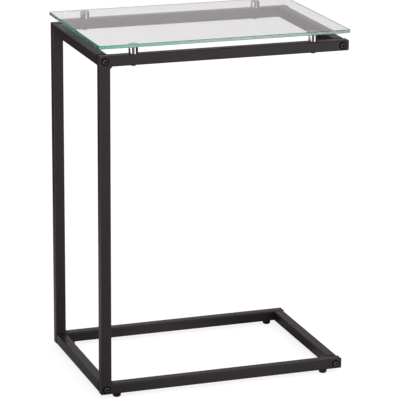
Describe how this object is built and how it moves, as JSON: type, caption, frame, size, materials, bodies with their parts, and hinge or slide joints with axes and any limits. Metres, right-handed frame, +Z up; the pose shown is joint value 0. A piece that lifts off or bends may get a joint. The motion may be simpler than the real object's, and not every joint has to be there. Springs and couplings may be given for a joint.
{
  "type": "side table",
  "caption": "C-shaped side table: two square-tube C frames joined by crossbars, a clear glass top on chromed stand-offs, and small levelling feet.",
  "frame": {"origin": "on the floor, under the middle of the bounding box", "axes": "+Z up; X along the long side, with the posts at -X and the open side at +X; the front C frame is at -Y"},
  "size_m": [0.4666, 0.3184, 0.645],
  "materials": {
    "powder_coat": "fine-textured satin powder coat",
    "zinc_steel": "zinc plated",
    "black_plastic": "moulded, fine matt",
    "chrome": "polished chrome",
    "clear_bond": "clear acrylic bond",
    "clear_glass": "clear float glass with polished green edges",
    "black_screw": "black oxide"
  },
  "bodies": {
    "frame": {"front_post": "powder_coat", "back_post": "powder_coat", "front_top_rail": "powder_coat", "back_top_rail": "powder_coat", "front_base_rail": "powder_coat", "back_base_rail": "powder_coat", "left_top_crossbar": "powder_coat", "right_top_crossbar": "powder_coat", "left_base_crossbar": "powder_coat", "right_base_crossbar": "powder_coat", "front_corner_welds": "powder_coat", "back_corner_welds": "powder_coat", "left_top_crossbar_end_plates": "zinc_steel", "left_base_crossbar_end_plates": "zinc_steel", "right_top_crossbar_end_plates": "zinc_steel", "right_base_crossbar_end_plates": "zinc_steel", "foot_rivet_nuts": "zinc_steel", "front_top_rail_plug": "black_plastic", "front_base_rail_plug": "black_plastic", "back_top_rail_plug": "black_plastic", "back_base_rail_plug": "black_plastic", "front_left_standoff": "chrome", "front_right_standoff": "chrome", "back_left_standoff": "chrome", "back_right_standoff": "chrome", "front_left_bonding_pad": "clear_bond", "front_right_bonding_pad": "clear_bond", "back_left_bonding_pad": "clear_bond", "back_right_bonding_pad": "clear_bond", "glass_top": "clear_glass", "front_frame_bolts": "black_screw", "back_frame_bolts": "black_screw", "glass_screws": "black_screw"},
    "front_left_leveller": {"front_left_foot": "black_plastic", "front_left_foot_stud": "zinc_steel"},
    "front_right_leveller": {"front_right_foot": "black_plastic", "front_right_foot_stud": "zinc_steel"},
    "back_left_leveller": {"back_left_foot": "black_plastic", "back_left_foot_stud": "zinc_steel"},
    "back_right_leveller": {"back_right_foot": "black_plastic", "back_right_foot_stud": "zinc_steel"}
  },
  "joints": [
    {"name": "front_left_foot_travel", "type": "slide", "parent": "frame", "child": "front_left_leveller", "axis": [0, 0, -1], "range_m": [0, 0.006]},
    {"name": "front_right_foot_travel", "type": "slide", "parent": "frame", "child": "front_right_leveller", "axis": [0, 0, -1], "range_m": [0, 0.006]},
    {"name": "back_left_foot_travel", "type": "slide", "parent": "frame", "child": "back_left_leveller", "axis": [0, 0, -1], "range_m": [0, 0.006]},
    {"name": "back_right_foot_travel", "type": "slide", "parent": "frame", "child": "back_right_leveller", "axis": [0, 0, -1], "range_m": [0, 0.006]}
  ]
}
